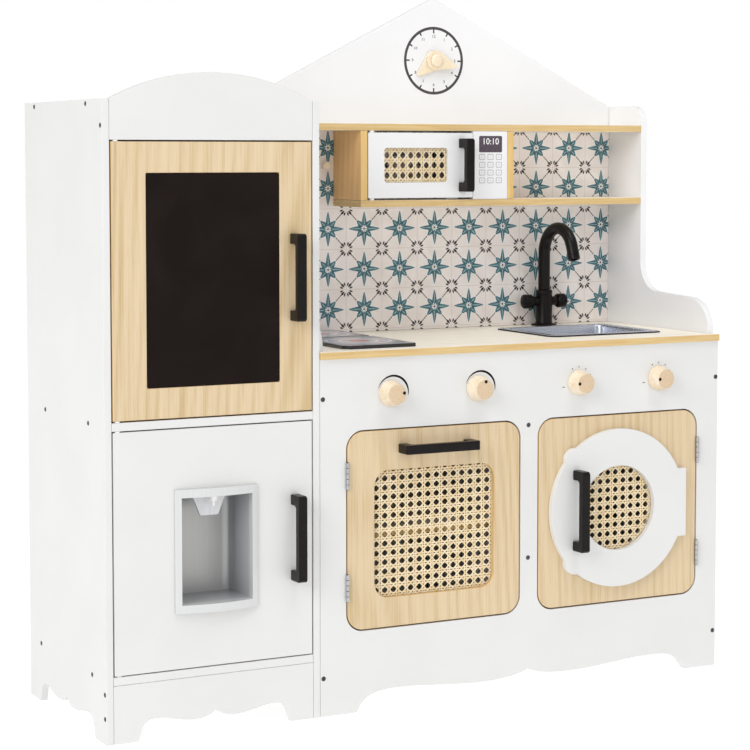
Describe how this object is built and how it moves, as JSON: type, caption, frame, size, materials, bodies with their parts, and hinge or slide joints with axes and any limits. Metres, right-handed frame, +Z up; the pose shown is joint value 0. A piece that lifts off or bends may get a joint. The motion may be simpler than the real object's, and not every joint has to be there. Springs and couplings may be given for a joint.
{
  "type": "toy kitchen",
  "caption": "Wooden play kitchen: fridge-freezer with drinks dispenser, oven, washing machine, hob, sink with tap, tiled wall, microwave and gable clock.",
  "frame": {"origin": "middle of the toy's footprint box, handles included, on the floor", "axes": "+Z up, the doors face -Y, +X to the right when looking at the doors"},
  "size_m": [0.9708, 0.3446, 1.005],
  "materials": {
    "white_paint": "painted MDF, satin",
    "maple_foil": "maple-pattern foil on MDF, satin",
    "maple_edge": "maple-pattern board with a golden edge band, satin",
    "beech": "turned beech and plywood, unvarnished",
    "tile_print": "printed tile pattern on MDF, satin",
    "chalkboard": "matt black chalkboard paint",
    "black_fitting": "matt black handles and tap",
    "silver_plastic": "silver-coloured moulded plastic",
    "white_plastic": "white moulded plastic",
    "sink_silver": "silver-coloured moulded basin",
    "hinge_steel": "plated steel",
    "cane": "woven natural cane webbing",
    "hob_print": "printed hob pattern with black edges"
  },
  "bodies": {
    "root": {"fridge_side_left": "white_paint", "fridge_side_right": "white_paint", "fridge_top_panel": "white_paint", "fridge_middle_shelf": "white_paint", "fridge_bottom_shelf": "white_paint", "fridge_kick_board": "white_paint", "fridge_arch_fascia": "white_paint", "fridge_back_panel": "white_paint", "kitchen_side_left": "white_paint", "kitchen_side_right": "white_paint", "kitchen_front_panel": "white_paint", "kitchen_bottom_shelf": "white_paint", "kitchen_centre_divider": "white_paint", "kitchen_back_panel": "white_paint", "microwave_control_panel": "white_paint", "worktop": "maple_edge", "top_shelf": "maple_edge", "lower_shelf": "maple_edge", "microwave_wall": "maple_edge", "shelf_divider": "maple_edge", "oven_shelf": "beech", "utensil_peg": "beech", "clock_post": "beech", "tiled_gable_wall": "tile_print", "tap_body": "black_fitting", "sink_basin": "sink_silver", "oven_hinge_lower": "hinge_steel", "oven_hinge_upper": "hinge_steel", "washer_hinge_lower": "hinge_steel", "washer_hinge_upper": "hinge_steel", "hob_plate_front": "hob_print", "hob_plate_rear": "hob_print"},
    "freezer_door_body": {"freezer_door": "maple_foil", "freezer_chalkboard": "chalkboard", "freezer_handle": "black_fitting"},
    "fridge_door_body": {"fridge_door": "white_paint", "fridge_handle": "black_fitting", "dispenser_housing": "silver_plastic", "dispenser_nozzle": "white_plastic"},
    "dispenser_paddle_body": {"dispenser_paddle": "silver_plastic"},
    "oven_door_body": {"oven_door": "maple_foil", "oven_cane_panel": "cane", "oven_handle": "black_fitting"},
    "washer_door_body": {"washer_door": "maple_foil", "washer_cane_panel": "cane", "washer_porthole_plate": "white_paint", "washer_handle": "black_fitting"},
    "microwave_door_body": {"microwave_door": "white_paint", "microwave_cane_panel": "cane", "microwave_handle": "black_fitting"},
    "hob_knob_left_body": {"hob_knob_left": "beech"},
    "hob_knob_right_body": {"hob_knob_right": "beech"},
    "oven_knob_body": {"oven_knob": "beech"},
    "washer_knob_body": {"washer_knob": "beech"},
    "clock_hour_hand_body": {"clock_hour_hand": "beech"},
    "clock_minute_hand_body": {"clock_minute_hand": "beech"},
    "tap_spout_body": {"tap_spout": "black_fitting"},
    "tap_valve_left_body": {"tap_valve_left": "black_fitting"},
    "tap_valve_right_body": {"tap_valve_right": "black_fitting"}
  },
  "joints": [
    {"name": "freezer_door_hinge", "type": "hinge", "parent": "root", "child": "freezer_door_body", "pos_m": [-0.4665, -0.1317, 0.60375], "axis": [0, 0, -1], "range_deg": [0, 110]},
    {"name": "fridge_door_hinge", "type": "hinge", "parent": "root", "child": "fridge_door_body", "pos_m": [-0.4665, -0.1317, 0.2495], "axis": [0, 0, -1], "range_deg": [0, 110]},
    {"name": "dispenser_paddle_pivot", "type": "hinge", "parent": "fridge_door_body", "child": "dispenser_paddle_body", "pos_m": [-0.3299, -0.1107, 0.315], "axis": [1, 0, 0], "range_deg": [0, 10], "stiffness_Nm_per_rad": 0.05},
    {"name": "oven_door_hinge", "type": "hinge", "parent": "root", "child": "oven_door_body", "pos_m": [-0.1357, -0.1386, 0.2522], "axis": [0, 0, -1], "range_deg": [0, 110]},
    {"name": "washer_door_hinge", "type": "hinge", "parent": "root", "child": "washer_door_body", "pos_m": [0.4476, -0.1386, 0.2522], "axis": [0, 0, 1], "range_deg": [0, 110]},
    {"name": "microwave_door_hinge", "type": "hinge", "parent": "root", "child": "microwave_door_body", "pos_m": [0.0035, 0.0583, 0.7518], "axis": [0, 0, -1], "range_deg": [0, 100]},
    {"name": "hob_knob_left_turn", "type": "hinge", "parent": "root", "child": "hob_knob_left_body", "pos_m": [-0.06835, -0.1357, 0.44], "axis": [0, -1, 0], "continuous": true},
    {"name": "hob_knob_right_turn", "type": "hinge", "parent": "root", "child": "hob_knob_right_body", "pos_m": [0.07065, -0.1357, 0.44], "axis": [0, -1, 0], "continuous": true},
    {"name": "oven_knob_turn", "type": "hinge", "parent": "root", "child": "oven_knob_body", "pos_m": [0.23865, -0.1357, 0.44], "axis": [0, -1, 0], "continuous": true},
    {"name": "washer_knob_turn", "type": "hinge", "parent": "root", "child": "washer_knob_body", "pos_m": [0.37765, -0.1357, 0.44], "axis": [0, -1, 0], "continuous": true},
    {"name": "clock_hour_hand_turn", "type": "hinge", "parent": "root", "child": "clock_hour_hand_body", "pos_m": [0.15465, 0.1393, 0.9104], "axis": [0, 1, 0], "continuous": true},
    {"name": "clock_minute_hand_turn", "type": "hinge", "parent": "root", "child": "clock_minute_hand_body", "pos_m": [0.15465, 0.1353, 0.9104], "axis": [0, 1, 0], "continuous": true},
    {"name": "tap_spout_swivel", "type": "hinge", "parent": "root", "child": "tap_spout_body", "pos_m": [0.3409, 0.1223, 0.557], "axis": [0, 0, 1], "range_deg": [-80, 80]},
    {"name": "tap_valve_left_turn", "type": "hinge", "parent": "root", "child": "tap_valve_left_body", "pos_m": [0.3114, 0.1223, 0.5389], "axis": [1, 0, 0], "range_deg": [-90, 90]},
    {"name": "tap_valve_right_turn", "type": "hinge", "parent": "root", "child": "tap_valve_right_body", "pos_m": [0.3704, 0.1223, 0.5389], "axis": [1, 0, 0], "range_deg": [-90, 90]}
  ]
}
